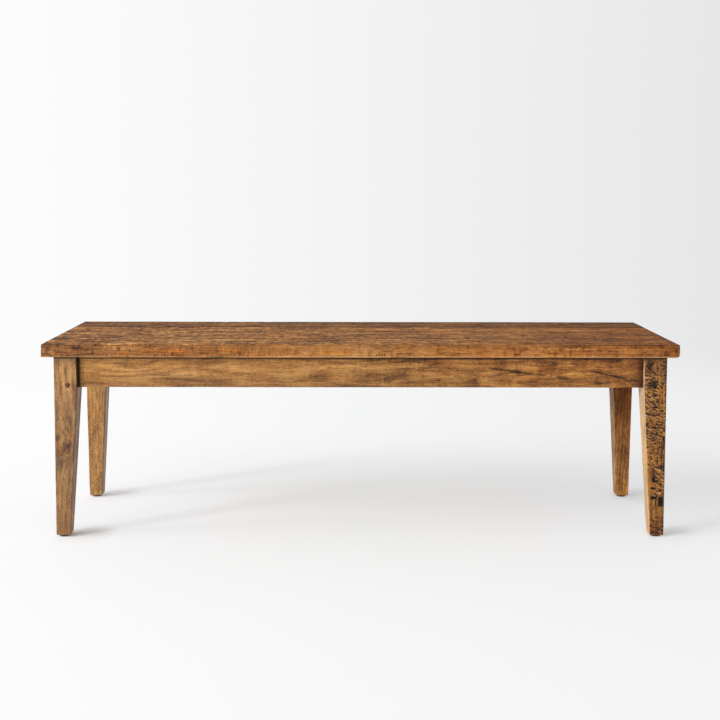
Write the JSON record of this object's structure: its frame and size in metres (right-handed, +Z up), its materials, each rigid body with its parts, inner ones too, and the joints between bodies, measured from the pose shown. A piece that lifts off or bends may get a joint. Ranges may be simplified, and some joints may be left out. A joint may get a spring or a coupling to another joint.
{
  "type": "bench",
  "caption": "Long rustic wooden bench with a planked seat, plain aprons, inward-tapered square legs and diamond-set pegs at the joints.",
  "frame": {"origin": "centre of the footprint, on the floor under the middle of the seat", "axes": "+X along the bench, -Y the front, +Z up"},
  "size_m": [1.5, 0.41, 0.47],
  "materials": {
    "seat_wood": "worn brown, waxed",
    "frame_wood": "worn honey brown, waxed",
    "hidden_wood": "planed, unfinished",
    "peg_wood": "dark, waxed",
    "glide": "black, matte",
    "steel": "zinc plated"
  },
  "bodies": {
    "root": {"button_screws": "steel", "corner_block_screws": "steel", "front_apron": "frame_wood", "front_button_1": "hidden_wood", "front_button_2": "hidden_wood", "front_button_3": "hidden_wood", "front_button_4": "hidden_wood", "front_left_corner_block": "hidden_wood", "front_left_end_peg": "peg_wood", "front_left_glide": "glide", "front_left_leg": "frame_wood", "front_left_long_peg": "peg_wood", "front_right_corner_block": "hidden_wood", "front_right_end_peg": "peg_wood", "front_right_glide": "glide", "front_right_leg": "frame_wood", "front_right_long_peg": "peg_wood", "glide_nails": "steel", "left_apron": "frame_wood", "left_button_1": "hidden_wood", "left_button_2": "hidden_wood", "left_cross_rail": "hidden_wood", "middle_cross_rail": "hidden_wood", "rear_apron": "frame_wood", "rear_button_1": "hidden_wood", "rear_button_2": "hidden_wood", "rear_button_3": "hidden_wood", "rear_button_4": "hidden_wood", "rear_left_corner_block": "hidden_wood", "rear_left_end_peg": "peg_wood", "rear_left_glide": "glide", "rear_left_leg": "frame_wood", "rear_left_long_peg": "peg_wood", "rear_right_corner_block": "hidden_wood", "rear_right_end_peg": "peg_wood", "rear_right_glide": "glide", "rear_right_leg": "frame_wood", "rear_right_long_peg": "peg_wood", "right_apron": "frame_wood", "right_button_1": "hidden_wood", "right_button_2": "hidden_wood", "right_cross_rail": "hidden_wood", "seat_plank_1": "seat_wood", "seat_plank_2": "seat_wood", "seat_plank_3": "seat_wood", "seat_plank_4": "seat_wood", "seat_screws": "steel"}
  },
  "joints": []
}
